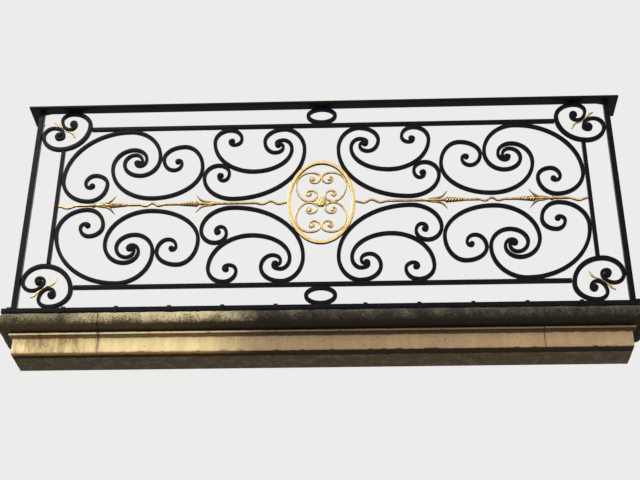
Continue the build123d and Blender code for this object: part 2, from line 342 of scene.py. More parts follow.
def worn_stone(shell, low, high, pitch, round_edge, ends, wear, finish=0, chips=0):
    """A stone block as a fine grid, its front and chosen ends rounded, its faces worn back unevenly
    and its arrises chipped. The round is worked on the front at low y and on the ends named in ends
    (-1 left, 1 right)."""
    counts = [max(1, round((high[k] - low[k]) / pitch[k])) for k in range(3)]
    ticks = [[low[k] + (high[k] - low[k]) * i / counts[k] for i in range(counts[k] + 1)] for k in range(3)]
    index, points, faces = {}, [], []

    def corner(i, j, k):
        if (i, j, k) not in index:
            index[i, j, k] = len(points)
            points.append(Vector((ticks[0][i], ticks[1][j], ticks[2][k])))
        return index[i, j, k]

    for axis in range(3):
        a, b = (axis + 1) % 3, (axis + 2) % 3
        for fixed in (0, counts[axis]):
            for p in range(counts[a]):
                for q in range(counts[b]):
                    ring = []
                    for da, db in ((0, 0), (1, 0), (1, 1), (0, 1)):
                        spot = [0, 0, 0]
                        spot[axis], spot[a], spot[b] = fixed, p + da, q + db
                        ring.append(corner(*spot))
                    faces.append(ring if fixed else ring[::-1])

    core_low = (low[0] + round_edge * (-1 in ends), low[1] + round_edge, low[2] + round_edge)
    core_high = (high[0] - round_edge * (1 in ends), high[1], high[2] - round_edge)

    def in_core(point):
        return Vector([min(max(point[k], core_low[k]), core_high[k]) for k in range(3)])

    back_fade, joint_fade = 12, 3
    hollow_size, bite_size, chip_size = 42, 11, 17
    worn = []
    for point in points:
        core = in_core(point)
        out = point - core
        if out.x or out.y:
            point = core + out.normalized() * max(abs(v) for v in out)
        out = (point - in_core(point)).normalized()
        free = min(1, max(0, (high[1] - point.y) / back_fade))
        for end, side in ((-1, low[0]), (1, high[0])):
            if end not in ends:
                free *= min(1, abs(point.x - side) / joint_fade)
        hollow = max(0, 0.5 + noise.fractal(point / hollow_size, 0.9, 2.1, 5))
        bite = max(0, noise.noise(point / bite_size) - 0.35) * 4
        chip = max(0, noise.noise(point / chip_size + Vector((9, 4, 2))) + 0.1)
        spall = chips * 2 * abs(out.y * out.z) * chip
        worn.append(tuple(point - out * free * (wear * (hollow + bite) + spall)))
    shell.add(worn, faces, finish)


def three_stones(reach, half_joint):
    """Where the left, middle and right stones start and end, and which of their ends stand free."""
    return (
        (-reach, -joint_x - half_joint, (-1,)),
        (-joint_x + half_joint, joint_x - half_joint, ()),
        (joint_x + half_joint, reach, (1,)),
    )


wall_y, seat_front = 76, -76
nosing_front, nosing_end = seat_front - 52, 1221
nosing_low, nosing_high, nosing_round = 88, 154, 32.5
pointing_back = 2.5
top_stone = Shell()
for x0, x1, ends in three_stones(nosing_end, 1.2):
    worn_stone(
        top_stone, (x0, nosing_front, nosing_low), (x1, wall_y, nosing_high),
        (6, 7, 4), nosing_round, ends, 1.6,
    )
for x in (-joint_x, joint_x):
    worn_stone(
        top_stone, (x - 2, nosing_front + pointing_back, nosing_low + pointing_back),
        (x + 2, wall_y - pointing_back, nosing_high - pointing_back),
        (2, 7, 4), nosing_round - pointing_back, (), 0.4, finish=1,
    )
make_piece("top_stones", top_stone, (weathered_stone, mortar), "slab_nosing", 60)


# Fascia: three sawn blocks under the top stone, with a narrow square fillet cut along their top.
# The joints line up with those above. Sheltered, warm and pale, with faint rain marks; the left third
# golden as painted sunlight.

def facing_up(tree):
    """1 where a face looks up, -1 where it looks down."""
    return put(tree, "SeparateXYZ", {0: put(tree, "NewGeometry").outputs["Normal"]}).outputs[2]


fascia_stone, tree, place = new_material("sheltered_limestone")
grain = place_group(stone_grain, Place=place, Speck=150, Pits=0.5)
specks = grain["Specks"]
streak = place_group(rain_streaks, Place=place, Width=34)
axis = put(tree, "SeparateXYZ", {0: place}).outputs
along = add_part(axis[0], swing(place, 4, 4, 0.6), 0.35)
# The left third golden and pale: painted sunlight.
sunlit_part = step(along, -0.24, -0.48)
stained_part = step(along, -0.8, -0.9)
plain = tint(specks, rgb(147, 122, 90), rgb(178, 152, 116))
paler = tint(specks, rgb(160, 134, 98), rgb(192, 163, 122))
plain = tint(step(along, 0.25, 0.8), plain, paler)
sunlit_golden = tint(specks, rgb(248, 213, 149), rgb(255, 238, 180))
colour = tint(sunlit_part, plain, sunlit_golden)
stain = step(cloud(stretched(place, (1, 1, 0.3)), 13, 6, 0.75), 0.42, 0.6)
stain = times(stain, add_part(0.12, stained_part, 0.72))
colour = tint(stain, colour, rgb(132, 100, 60))
colour = tint(streak["Streaks"], colour, rgb(124, 92, 58), 0.22)
flecks = add_part(cloud(place, 120, 5, 0.8), step(axis[0], 0.75, 1.15), 0.06)
colour = tint(step(flecks, 0.63, 0.68, 0, 0.6), colour, rgb(92, 72, 48))
rust_spot = step(cloud(place, 62, 4, 0.7), 0.67, 0.73)
colour = tint(rust_spot, colour, rgb(128, 84, 48), 0.5)
holes = put(tree, "TexVoronoi", {"Vector": place, "Scale": 46, "Randomness": 1}).outputs["Distance"]
pit = times(step(holes, 0.14, 0.08), step(cloud(place, 7, 3, 0.6), 0.52, 0.6))
colour = tint(pit, colour, rgb(54, 40, 26), 0.8)

# The fillet: painted shadow and dirt in the angle under it and on its underside, and a painted highlight
# on its lip, both lighter in the painted sunlight; painted shade under the nosing on its upper half.
wander = swing(place, 30, 5, 0.7)
level_z = add_part(axis[2], wander, 0.012)
down = step(facing_up(tree), -0.45, -0.75)
# Painted shadow and dirt in the angle under the fillet and on its underside, lighter in the painted
# sunlight.
shadow_and_dirt = times(step(level_z, 0.0575, 0.0625), step(axis[2], 0.0704, 0.0698))
fillet_under = times(down, step(axis[2], 0.06, 0.062))
shadow_and_dirt = times(0.9, calc("MAXIMUM", shadow_and_dirt, fillet_under))
colour = tint(shadow_and_dirt, colour, tint(sunlit_part, rgb(54, 38, 24), rgb(98, 66, 24)))
# Painted highlight on the fillet's lip, brightest in the painted sunlight.
lit_lip = times(step(axis[2], 0.0702, 0.071), calc("SUBTRACT", 0.85, down))
colour = tint(lit_lip, colour, tint(sunlit_part, rgb(122, 104, 80), rgb(255, 236, 190)))
# Painted shade under the nosing on the fillet's upper half.
shade_under_nosing = step(add_part(axis[2], wander, 0.005), 0.0764, 0.0786, 0, 0.9)
colour = tint(shade_under_nosing, colour, rgb(58, 42, 27))

# The joints, with dirt run down beside them, and the lowest strip of the face darker.
beside = from_joint(axis[0], wander, 0.014)
run_down = times(step(beside, 0.013, 0.002), step(level_z, -0.03, 0.07))
run_down = times(run_down, add_part(0.2, sunlit_part, 0.45))
colour = tint(run_down, colour, rgb(104, 72, 40))
seam = times(step(beside, 0.004, 0.001), add_part(0.15, level_z, 5))
colour = tint(seam, colour, rgb(50, 36, 24))
# The lowest strip of the face darker.
darker_bottom_edge = times(step(level_z, 0.007, 0.001, 0, 0.55), calc("SUBTRACT", 1, down))
colour = tint(darker_bottom_edge, colour, rgb(120, 92, 60))

# The underside: bare stone along the front, then the rough mortar bed, as on the back; both carry painted
# shade.
depth = add_part(axis[1], wander, 0.016)
soffit = times(down, step(axis[2], 0.03, 0.02))
# The front strip lighter in the painted sunlight, darker further in as painted shade.
front_strip = tint(sunlit_part, rgb(64, 47, 28), rgb(172, 126, 70))
front_strip = tint(step(depth, -0.066, -0.054), front_strip, rgb(60, 44, 28))
patchy = step(cloud(place, 22, 5, 0.7), 0.5, 0.6)
# The bed: mortar in a dark tone that is partly painted shade, lighter mortar patches, a painted shadow
# line at its front.
bed = tint(specks, rgb(74, 60, 43), rgb(112, 95, 72))
bed = tint(patchy, bed, rgb(134, 120, 97), 0.4)
bed = tint(step(depth, -0.029, -0.038), bed, rgb(34, 26, 18))
front_strip = tint(step(depth, -0.04, -0.034), front_strip, bed)
colour = tint(soffit, colour, front_strip)
colour = tint(step(axis[1], bed_start, bed_end), colour, bed)
rough_bed = times(step(depth, -0.036, -0.03), soffit)
height = add_part(grain["Height"], rough_bed, times(patchy, 1.2))
height = add_part(height, pit, -1.5)
finish_surface(colour, 0.9, height, 0.45, 0.002, gloss=0.2)

fascia_end, fillet_out = 1155, 14
fillet_low, fillet_high = 70, 80
fascia_stones = Shell()
for x0, x1, ends in three_stones(fascia_end, 0.8):
    worn_stone(
        fascia_stones, (x0, seat_front, 0), (x1, wall_y, nosing_low),
        (6.5, 8, 5.5), 2, ends, 0.7, chips=5,
    )
    fillet_x0, fillet_x1 = x0 - fillet_out * (-1 in ends), x1 + fillet_out * (1 in ends)
    worn_stone(
        fascia_stones, (fillet_x0, seat_front - fillet_out, fillet_low), (fillet_x1, wall_y, fillet_high),
        (6.5, 9.2, 3), 1.8, ends, 0.5, chips=2.5,
    )
for x in (-joint_x, joint_x):
    worn_stone(
        fascia_stones, (x - 1.5, seat_front + 2, 1), (x + 1.5, wall_y - pointing_back, nosing_low - 1),
        (1.5, 8, 5.5), 1, (), 0.3, finish=1,
    )
make_piece("fascia_stones", fascia_stones, (fascia_stone, mortar), "slab_fascia", 40)

# Bottom rail: a square iron bar along the front, mitred and welded to its returns into the wall.
# All the black ironwork is brush-painted over hammered bar, satin, dusty on top, worn on the arrises.

# Forge marks: shallow dents, lumps and brush strokes as height, and the tone that goes with them.
forge_marks, takes, gives = new_group("forge_marks", ("Place", "Dent"), ("Height", "Tone"))
tree = forge_marks
dents = put(
    tree, "TexVoronoi", {"Vector": takes["Place"], "Scale": takes["Dent"], "Smoothness": 0.8},
    feature="SMOOTH_F1",
)
brushed = stretched(takes["Place"], (0.35, 1, 1))
strokes = cloud(brushed, times(takes["Dent"], 9), 3, 0.6)
lumps = cloud(takes["Place"], times(takes["Dent"], 0.6), 3, 0.5)
height = add_part(times(strokes, 0.12), dents.outputs["Distance"], 0.6)
tree.links.new(add_part(height, lumps, 0.5), gives["Height"])
tone = calc("ADD", times(strokes, 0.4), times(lumps, 0.6))
tree.links.new(step(tone, 0.35, 0.65), gives["Tone"])

# Worn edges: the arrises that hands and weather have rubbed, in broken lengths.
worn_edges, takes, gives = new_group("worn_edges", ("Place", "Reach"), ("Edges",))
tree = worn_edges
sharp = put(tree, "NewGeometry").outputs["Pointiness"]
raised = step(sharp, calc("SUBTRACT", 0.58, takes["Reach"]), 0.62)
broken = step(cloud(takes["Place"], 90, 4, 0.7), 0.48, 0.62)
tree.links.new(times(raised, broken), gives["Edges"])

# Settled dust: patches on what faces up.
settled_dust, takes, gives = new_group("settled_dust", ("Place", "Amount"), ("Dust",))
tree = settled_dust
lying = step(facing_up(tree), 0.25, 0.95)
patchy = step(cloud(takes["Place"], 70, 5, 0.7), 0.35, 0.7)
tree.links.new(times(times(lying, patchy), takes["Amount"]), gives["Dust"])


def painted_iron(name, rust_from, rust_colour):
    """Black brush paint over hammered iron; rust comes through above the given level of a noise."""
    material, _, place = new_material(name)
    forged = place_group(forge_marks, Place=place, Dent=55)
    edge = place_group(worn_edges, Place=place, Reach=0.03)["Edges"]
    dust = place_group(settled_dust, Place=place, Amount=0.55)["Dust"]
    colour = tint(forged["Tone"], rgb(8, 8, 12), rgb(20, 20, 27))
    colour = tint(edge, colour, rgb(60, 57, 60), 0.45)
    rusty = step(cloud(place, 34, 6, 0.75), rust_from, rust_from + 0.08, 0, 0.6)
    colour = tint(rusty, colour, rust_colour)
    colour = tint(dust, colour, rgb(104, 96, 84))
    rough = add_part(step(forged["Tone"], 0, 1, 0.36, 0.5), dust, 0.35)
    finish_surface(colour, rough, forged["Height"], 0.35, 0.0012, gloss=0.06)
    return material


black_iron = painted_iron("black_painted_iron", 0.66, rgb(58, 34, 24))


def left_and_right(piece, node, shell, materials=(black_iron,), smooth=35):
    """The piece as drawn at the right, and its mirror image at the left."""
    for side, flip in (("_left", -1), ("_right", 1)):
        make_piece(piece + side, shell, materials, node + side, smooth, (flip, 1))


def skin(rows, around, closed=False):
    """The faces between rows of points, all rings of the same count, a closed skin's last row
    joined to its first."""
    faces = []
    for k in range(rows if closed else rows - 1):
        here, next_row = k * around, (k + 1) % rows * around
        for j in range(around):
            n = (j + 1) % around
            faces.append([here + j, here + n, next_row + n, next_row + j])
    return faces


def caps(rows, around):
    """The two end faces of an open skin."""
    return [list(range(around))[::-1], [(rows - 1) * around + j for j in range(around)]]


def on_arris(centre, a, d, soft, side, part):
    """A point on a bar's rounded arris. The side counts round the bar, and part goes from 0 to 3."""
    ra, rd = min(0.95, soft / a.length), min(0.95, soft / d.length)
    angle, arris = math.pi * (side / 2 + part / 6), math.pi * (side / 2 + 0.25)
    u = (1 - ra) * math.copysign(1, math.cos(arris)) + ra * math.cos(angle)
    v = (1 - rd) * math.copysign(1, math.sin(arris)) + rd * math.sin(angle)
    return centre + a * u + d * v


def rounded_bar(shell, stations, soft, finish=0, closed=False):
    """A bar through stations, each a centre and two half-side vectors, with arrises of radius soft.
    Each flat keeps points near its arrises, so that wear stays on them. A closed bar is a hoop."""
    (first, a, d), (second, _, _) = stations[:2]
    if (second - first).dot(a.cross(d)) < 0:
        stations = stations[::-1]
    points = []
    for centre, a, d in stations:
        for side in range(4):
            points += [on_arris(centre, a, d, soft, side, part) for part in range(4)]
            flat_end = on_arris(centre, a, d, soft, side + 1, 0)
            points += [points[-1].lerp(flat_end, share) for share in (0.15, 0.5, 0.85)]
    rows, around = len(stations), len(points) // len(stations)
    faces = skin(rows, around, closed)
    if not closed:
        faces += caps(rows, around)
    shell.add([tuple(point) for point in points], faces, finish)


def straight(shell, start, end, a, d, soft, pitch=40, start_cut=0, end_cut=0, finish=0):
    """A straight bar; a cut slants its end, as at a mitre, by that much for each half side d."""
    start, end, a, d = Vector(start), Vector(end), Vector(a), Vector(d)
    along = (end - start).normalized()
    count = max(2, round((end - start).length / pitch))
    stations = []
    for k in range(count + 1):
        slant = start_cut * (k == 0) + end_cut * (k == count)
        stations.append((start.lerp(end, k / count), a, d + along * slant))
    rounded_bar(shell, stations, soft, finish)


rail, rail_soft = 20, 1.6
rail_y, rail_end = -21, 1220
rail_low = 196
rail_mid, rail_high = rail_low + rail / 2, rail_low + rail
bottom_front = Shell()
straight(
    bottom_front, (-rail_end, rail_y, rail_mid), (rail_end, rail_y, rail_mid),
    (0, 0, rail / 2), (0, rail / 2, 0), rail_soft, 40, rail / 2, -rail / 2,
)
make_piece("bottom_rail", bottom_front, (black_iron,), "bottom_rail_front")
bottom_return = Shell()
straight(
    bottom_return, (rail_end, rail_y, rail_mid), (rail_end, wall_y, rail_mid),
    (0, 0, rail / 2), (rail / 2, 0, 0), rail_soft, 20, -rail / 2,
)
left_and_right("bottom_rail_to_wall", "bottom_rail_return", bottom_return)

# Feet: each a hoop of flat iron bent round the bottom rail, on a short leg run into the stone with
# lead. Five a side stand evenly apart and a sixth is close against the outside of each post, where
# the lead fills up the round of the stone.

dull_lead, _, place = new_material("dull_lead")
forged = place_group(forge_marks, Place=place, Dent=140)
colour = tint(forged["Tone"], rgb(70, 70, 70), rgb(112, 111, 108))
finish_surface(colour, 0.7, forged["Height"], 0.5, 0.001)

foot_iron = painted_iron("rust_stained_iron", 0.52, rgb(52, 38, 28))

post_x = 1183
foot_first, foot_pitch, foot_last = 171.5, 204.7, 1201.8
half_foot, hoop_thick = 7.5, 4
lead_half, lead_low, lead_low_end, lead_top = 11.2, 151.5, 143, 156.4
foot_places = [foot_first + foot_pitch * k for k in range(5)] + [foot_last]
out = rail / 2 + hoop_thick / 2
bends = [Vector((0, y, z)) for y, z in ((-out, -out), (out, -out), (out, out), (-out, out))]
feet = Shell()
for x in [-place for place in foot_places] + foot_places:
    ring = []
    for k, bend in enumerate(bends):
        for spot in (bend.lerp(bends[k - 1], 0.1), bend * 0.96, bend.lerp(bends[(k + 1) % 4], 0.1)):
            half_thick = spot.normalized() * hoop_thick / 2
            ring.append((Vector((x, rail_y, rail_mid)) + spot, Vector((half_foot, 0, 0)), half_thick))
    rounded_bar(feet, ring, 0.7, closed=True)
    straight(
        feet, (x, rail_y, nosing_high), (x, rail_y, rail_low - hoop_thick),
        (half_foot, 0, 0), (0, half_foot, 0), 1.2, 20,
    )
    straight(
        feet, (x, rail_y, lead_low_end if abs(x) > post_x else lead_low), (x, rail_y, lead_top),
        (lead_half, 0, 0), (0, lead_half, 0), 7, 20, finish=1,
    )
make_piece("rail_feet_iron", feet, (foot_iron, dull_lead), "rail_feet")

# Outer posts: two square iron bars that carry the handrail at its ends, tenoned into the bottom
# rail and riveted through the handrail. One is drawn at the right and turned over for the left.

post = 22
hand_low = 1152
corner_post = Shell()
straight(
    corner_post, (post_x, rail_y, rail_high), (post_x, rail_y, hand_low),
    (post / 2, 0, 0), (0, post / 2, 0), 1.8,
)
left_and_right("outer_post", "post", corner_post)

# Handrail: a flat bar laid over the posts, with its returns welded on at mitres. The posts' tenons
# and the scrolls' rivets are hammered to low domes on its top. Hands and weather have rounded it.

rivet_rise = 1
hand_half, hand_deep, return_wide, hand_thick = 1232, 47, 35, 12 - rivet_rise
hand_front, hand_soft = -59, 2.4
hand_y, hand_z = hand_front + hand_deep / 2, hand_low + hand_thick / 2
return_x = hand_half - return_wide / 2
handrail = Shell()
straight(
    handrail, (-return_x, hand_y, hand_z), (return_x, hand_y, hand_z),
    (0, 0, hand_thick / 2), (0, hand_deep / 2, 0), hand_soft, 40, return_wide / 2, -return_wide / 2,
)

# A small plate fills the inner angle of each mitre.
back, inside = hand_front + hand_deep, hand_half - return_wide
plate = [
    (inside, back - 1), (inside, back + 20), (inside - 17, back + 9), (inside - 47, back),
    (inside - 47, back - 1),
]
plate_faces = skin(2, len(plate)) + caps(2, len(plate))
for side in (-1, 1):
    points = [(side * x, y, hand_low + z) for z in (0.2, hand_thick - 0.2) for x, y in plate]
    handrail.add(points, plate_faces if side > 0 else [face[::-1] for face in plate_faces])

rivet_profile = ((8.2, -0.8), (8.2, 0.1), (7.2, 0.5), (4.6, 0.85))
around, hand_top = 18, hand_low + hand_thick
rivet_top = len(rivet_profile) * around
for rivet_x in (-post_x, -1050, 0, 1050, post_x):
    points = []
    for r, rise in rivet_profile:
        for j in range(around):
            spin = math.tau * j / around
            points.append((rivet_x + r * math.cos(spin), rail_y + r * math.sin(spin), hand_top + rise))
    points.append((rivet_x, rail_y, hand_top + rivet_rise))
    faces = [list(range(around))[::-1]] + skin(len(rivet_profile), around)
    for j in range(around):
        faces.append([rivet_top - around + j, rivet_top - around + (j + 1) % around, rivet_top])
    handrail.add(points, faces)
make_piece("handrail", handrail, (black_iron,), "handrail_front")
hand_return = Shell()
straight(
    hand_return, (return_x, hand_y, hand_z), (return_x, wall_y, hand_z),
    (0, 0, hand_thick / 2), (return_wide / 2, 0, 0), hand_soft, 20, -hand_deep / 2,
)
left_and_right("handrail_to_wall", "handrail_return", hand_return)

# Corner scrolls: bars forged to a taper at both ends, wound round two small eyes and bent to a C.
# Drawn from the corner of the inner frame, then turned over for the other three corners.

bar, bar_soft = 16, 2.6
panel_mid = 684
inner_x, inner_z = 1072, 377
outward = {"T": (0, 1), "B": (0, -1), "L": (-1, 0), "R": (1, 0)}


def bent_bar(shell, turns, depth=bar, soft=bar_soft, x0=0, z0=0):
    """A bar bent through turning points (top, bottom, left, right), each with its half width,
    along quarter ellipses from one to the next."""
    edges = []
    for sign in (1, -1):
        edges.append([
            Vector((x0 + x + sign * half * outward[kind][0], 0, z0 + z + sign * half * outward[kind][1]))
            for kind, x, z, half in turns
        ])
    station_pitch, dent_size, dent_depth = 7, 23, 0.035
    stations = []
    for k in range(len(turns) - 1):
        (o0, o1), (i0, i1) = edges[0][k:k + 2], edges[1][k:k + 2]
        count = min(26, max(6, round((o1 - o0).length * 1.1 / station_pitch)))
        for j in range(count + (k == len(turns) - 2)):
            angle = math.pi / 2 * j / count
            cosine, sine = math.cos(angle), math.sin(angle)
            sides = []
            for p, q in ((o0, o1), (i0, i1)):
                if turns[k][0] in "LR":
                    sides.append(Vector((q.x + (p.x - q.x) * cosine, 0, p.z + (q.z - p.z) * sine)))
                else:
                    sides.append(Vector((p.x + (q.x - p.x) * sine, 0, q.z + (p.z - q.z) * cosine)))
            centre, a = (sides[0] + sides[1]) / 2, (sides[0] - sides[1]) / 2
            hammered = 1 - dent_depth * (1 + noise.noise(centre / dent_size + Vector((0, depth, 0))))
            d = Vector((0, depth / 2, 0))
            stations.append((centre + Vector((0, rail_y, panel_mid)), a * hammered, d * hammered))
    rounded_bar(shell, stations, soft)


def turned_eye(shell, x, z, radius, thick=18):
    """The end of a bar hammered to a round boss, domed on both faces."""
    points, rings, around = [], 12, 28
    squareness = 2 / 3.2
    for k in range(1, rings):
        angle = math.pi * k / rings - math.pi / 2
        r = radius * abs(math.cos(angle)) ** squareness
        y = thick / 2 * math.copysign(abs(math.sin(angle)) ** squareness, math.sin(angle))
        for j in range(around):
            spin = math.tau * j / around
            points.append((x + r * math.cos(spin), rail_y + y, panel_mid + z + r * math.sin(spin)))
    faces = [face[::-1] for face in skin(rings - 1, around)]
    for row, y in ((0, -thick / 2), (rings - 2, thick / 2)):
        points.append((x, rail_y + y, panel_mid + z))
        for j in range(around):
            face = [row * around + j, row * around + (j + 1) % around, len(points) - 1]
            faces.append(face[::-1] if row else face)
    shell.add(points, faces)


def four_quarters(piece, node, shell, materials=(black_iron,)):
    """The piece as drawn in the upper right quarter, and its mirror images in the other three."""
    for row, up in (("_upper", 1), ("_lower", -1)):
        for column, across in (("_left", -1), ("_right", 1)):
            quarter = row + column
            name, stands_for = piece + quarter, node + quarter
            make_piece(name, shell, materials, stands_for, flip=(across, up), middle=panel_mid)


corner = Shell()
bent_bar(corner, [
    ("R", -17, 32, 5), ("T", -28, 42, 6), ("L", -39, 28, 6.5), ("B", -14, 3.5, 6.5),
    ("R", 21, 50, 7), ("T", -22, 82.7, 8), ("L", -100, 17, 9.5), ("B", 16, -98, 9.5),
    ("R", 91.7, -30, 8), ("T", 52, 11, 7), ("L", 7.5, -31, 6.5), ("B", 28, -45, 6.5),
    ("R", 40, -32, 6), ("T", 29, -20, 5),
], x0=inner_x, z0=inner_z)
turned_eye(corner, inner_x - 25, inner_z + 30, 14)
turned_eye(corner, inner_x + 29, inner_z - 25, 14)
four_quarters("corner_scroll_iron", "corner_scroll", corner)

# Inner frame: two posts and two rails of square iron bar, smaller than the outer posts. They run
# between the corner scrolls and are scarfed to the backs of their curves.

inner_post_end, inner_rail_end, inner_soft = 269.2, 962.2, 1.5
inner_top = panel_mid + inner_z


def bottom_and_top(piece, node, shell):
    """The piece as drawn at the top, and its mirror image at the bottom."""
    for side, flip in (("_bottom", -1), ("_top", 1)):
        name, stands_for = piece + side, node + side
        make_piece(name, shell, (black_iron,), stands_for, flip=(1, flip), middle=panel_mid)


inner_post = Shell()
straight(
    inner_post,
    (inner_x, rail_y, panel_mid - inner_post_end), (inner_x, rail_y, panel_mid + inner_post_end),
    (bar / 2, 0, 0), (0, bar / 2, 0), inner_soft,
)
left_and_right("inner_post_iron", "inner_post", inner_post)
inner_rail = Shell()
straight(
    inner_rail, (-inner_rail_end, rail_y, inner_top), (inner_rail_end, rail_y, inner_top),
    (0, 0, bar / 2), (0, bar / 2, 0), inner_soft,
)
bottom_and_top("inner_rail_iron", "inner_rail", inner_rail)


# Gilt flames: thin wavy rods drawn to a point at both ends, pinched between the coils of each
# corner scroll. Gold leaf over a brown ground, rubbed through a little on the ridges.

def gold_leaf(name, dull, bright, rubbed, underside_shade):
    """Gold leaf from dull to bright tone, rubbed thin in patches, painted shade underneath and in hollows.
    """
    material, tree, place = new_material(name)
    forged = place_group(forge_marks, Place=place, Dent=110)
    edge = place_group(worn_edges, Place=place, Reach=0.02)["Edges"]
    dust = place_group(settled_dust, Place=place, Amount=0.3)["Dust"]
    colour = tint(forged["Tone"], dull, bright)
    thin = step(cloud(place, 38, 5, 0.72), 0.5, 0.66, 0, rubbed)
    colour = tint(thin, colour, rgb(152, 110, 58))
    colour = tint(edge, colour, rgb(150, 96, 46), 0.35)
    uneven = calc("SUBTRACT", forged["Tone"], 0.5)
    # Undersides and hollows painted dark brown and less metallic: painted shade.
    under = step(add_part(facing_up(tree), uneven, 0.25), -0.12, -0.68, 0, underside_shade)
    sunk = step(put(tree, "NewGeometry").outputs["Pointiness"], 0.502, 0.45, 0, 0.92)
    shade = calc("MAXIMUM", under, sunk)
    colour = tint(shade, colour, rgb(52, 31, 13))
    colour = tint(dust, colour, rgb(128, 106, 74))
    metal = calc("SUBTRACT", 0.85, add_part(dust, shade, 0.7))
    metal = calc("MAXIMUM", metal, 0.05)
    rough = add_part(step(forged["Tone"], 0, 1, 0.42, 0.3), shade, 0.3)
    finish_surface(colour, rough, forged["Height"], 0.3, 0.0008, gloss=0.3, metal=metal)
    return material


# A darker, browner copy of the gold leaf for the flames, small scrolls and rod: painted reflection of
# darker surroundings.
darker_gilding = gold_leaf("darker_gold_leaf", rgb(176, 134, 76), rgb(250, 216, 146), 0.6, 0.95)


def smooth_path(points, steps):
    """Points along a smooth curve through the given ones."""
    ends = [points[0] * 2 - points[1]] + list(points) + [points[-1] * 2 - points[-2]]
    path = []
    for k in range(1, len(ends) - 2):
        p0, p1, p2, p3 = ends[k - 1:k + 3]
        for j in range(steps + (k == len(ends) - 3)):
            t = j / steps
            path.append(0.5 * (
                2 * p1 + (p2 - p0) * t + (2 * p0 - 5 * p1 + 4 * p2 - p3) * t * t
                + (3 * p1 - p0 - 3 * p2 + p3) * t ** 3
            ))
    return path


def drawn_rod(shell, path, halves, half_depths, finish=0):
    """A rod hammered to the given half widths and half depths along its path."""
    points, around = [], 14
    for k, centre in enumerate(path):
        along = path[min(k + 1, len(path) - 1)] - path[max(k - 1, 0)]
        aside = Vector((0, 1, 0)).cross(along).normalized()
        for j in range(around):
            spin = math.tau * j / around
            deep = Vector((0, half_depths[k] * math.sin(spin), 0))
            points.append(tuple(centre + aside * halves[k] * math.cos(spin) + deep))
    shell.add(points, skin(len(path), around) + caps(len(path), around), finish)


# Each wave is x, z and half width. The width rides along as y while the path is smoothed.
waves = [
    (54, 42, 2.2), (41, 33, 5.2), (31, 21, 4.4), (22, 13, 2.8), (13, 5.2, 2.4), (-1, -6, 2.4),
    (-18, -11, 3.2), (-31, -22, 5.2), (-40, -40, 2.2),
]
route = smooth_path([Vector((inner_x + x, half, inner_top + z)) for x, z, half in waves], 8)
halves = [spot.y for spot in route]
for spot in route:
    spot.y = rail_y
flame = Shell()
drawn_rod(flame, route, halves, [min(4, 1.3 * half) for half in halves])
four_quarters("gilt_flame_rod", "gilt_flame", flame, (darker_gilding,))

# End scrolls: in each quarter two long bars that meet in one eye. Each is bent cold from its
# hammered taper outwards, and welded where it touches the frame and its neighbour.

end_pair = Shell()
bent_bar(end_pair, [
    ("L", 930, 95, 5), ("B", 942, 85.5, 6.5), ("R", 962.5, 105, 7), ("T", 926, 144.5, 8),
    ("L", 872.5, 98, 8), ("B", 944, 20, 8), ("R", 1055.7, 126, 8), ("T", 798, 360.7, 8),
    ("L", 664.5, 225, 8), ("B", 742, 141, 8), ("R", 810, 198, 8), ("T", 768, 244, 7),
    ("L", 738, 212, 6.5), ("B", 753, 198, 6), ("R", 764, 208, 5),
])
bent_bar(end_pair, [
    ("T", 757, 211, 5), ("R", 766, 204, 6), ("B", 748, 188.5, 6.5), ("L", 720.5, 220, 7),
    ("T", 776, 268.7, 8), ("R", 857, 180, 8), ("B", 685, 30, 8), ("L", 487, 172, 8),
    ("T", 566, 280.5, 8), ("R", 648.2, 220, 8), ("B", 605, 165, 7), ("L", 573, 197, 6.5),
    ("T", 588, 214, 6), ("R", 597.5, 206, 5),
])
for x, z, radius in ((935, 94, 12.5), (755, 204, 12.5), (591, 206, 11)):
    turned_eye(end_pair, x, z, radius)
four_quarters("end_scroll_bars", "end_scrolls", end_pair)

# Middle scrolls: the same iron bar beside the medallion, two lengths in each quarter, one of them
# curling under the top rail twice. Welded to the ring, to the frame and to each other.

middle_pair = Shell()
bent_bar(middle_pair, [
    ("T", 411, 142, 5), ("R", 420, 131, 6), ("B", 399, 110, 6.5), ("L", 375.5, 143, 7),
    ("T", 420, 184, 8), ("R", 476.6, 125, 8), ("B", 355, 21, 8), ("L", 69.6, 254, 8),
    ("T", 155, 360.7, 8), ("R", 234, 298, 8), ("B", 190, 244, 7), ("L", 157.5, 270, 6.5),
    ("T", 175, 288, 6), ("R", 187, 279, 5),
])
bent_bar(middle_pair, [
    ("T", 370, 311, 5), ("R", 381, 302, 5.5), ("B", 360, 286, 6.5), ("L", 330.5, 314, 7),
    ("T", 380, 360.7, 8), ("R", 441, 300, 8), ("B", 275, 152, 8), ("L", 122, 260, 8),
    ("T", 158, 306, 7), ("R", 188, 290, 6), ("B", 180, 280, 5.5), ("L", 171, 288, 5),
])
for x, z, radius in ((409, 134, 11.5), (370, 305, 12), (179, 283, 14)):
    turned_eye(middle_pair, x, z, radius)
four_quarters("middle_scroll_bars", "middle_scrolls", middle_pair)


# Ovals: two hoops of the same iron bar bent round a former and welded shut, squeezed between the
# inner frame and the handrail above it, and between the frame and the bottom rail below.

def oval_hoop(shell, half_x, half_z, mid_z, face, deep, soft, count):
    """A hoop of bar on an upright oval; the halves are those of its middle line."""
    stations = []
    for k in range(count):
        angle = math.tau * k / count
        radial = Vector((math.cos(angle) / half_x, 0, math.sin(angle) / half_z)).normalized()
        centre = Vector((half_x * math.cos(angle), rail_y, mid_z + half_z * math.sin(angle)))
        stations.append((centre, radial * face / 2, Vector((0, deep / 2, 0))))
    rounded_bar(shell, stations, soft, closed=True)


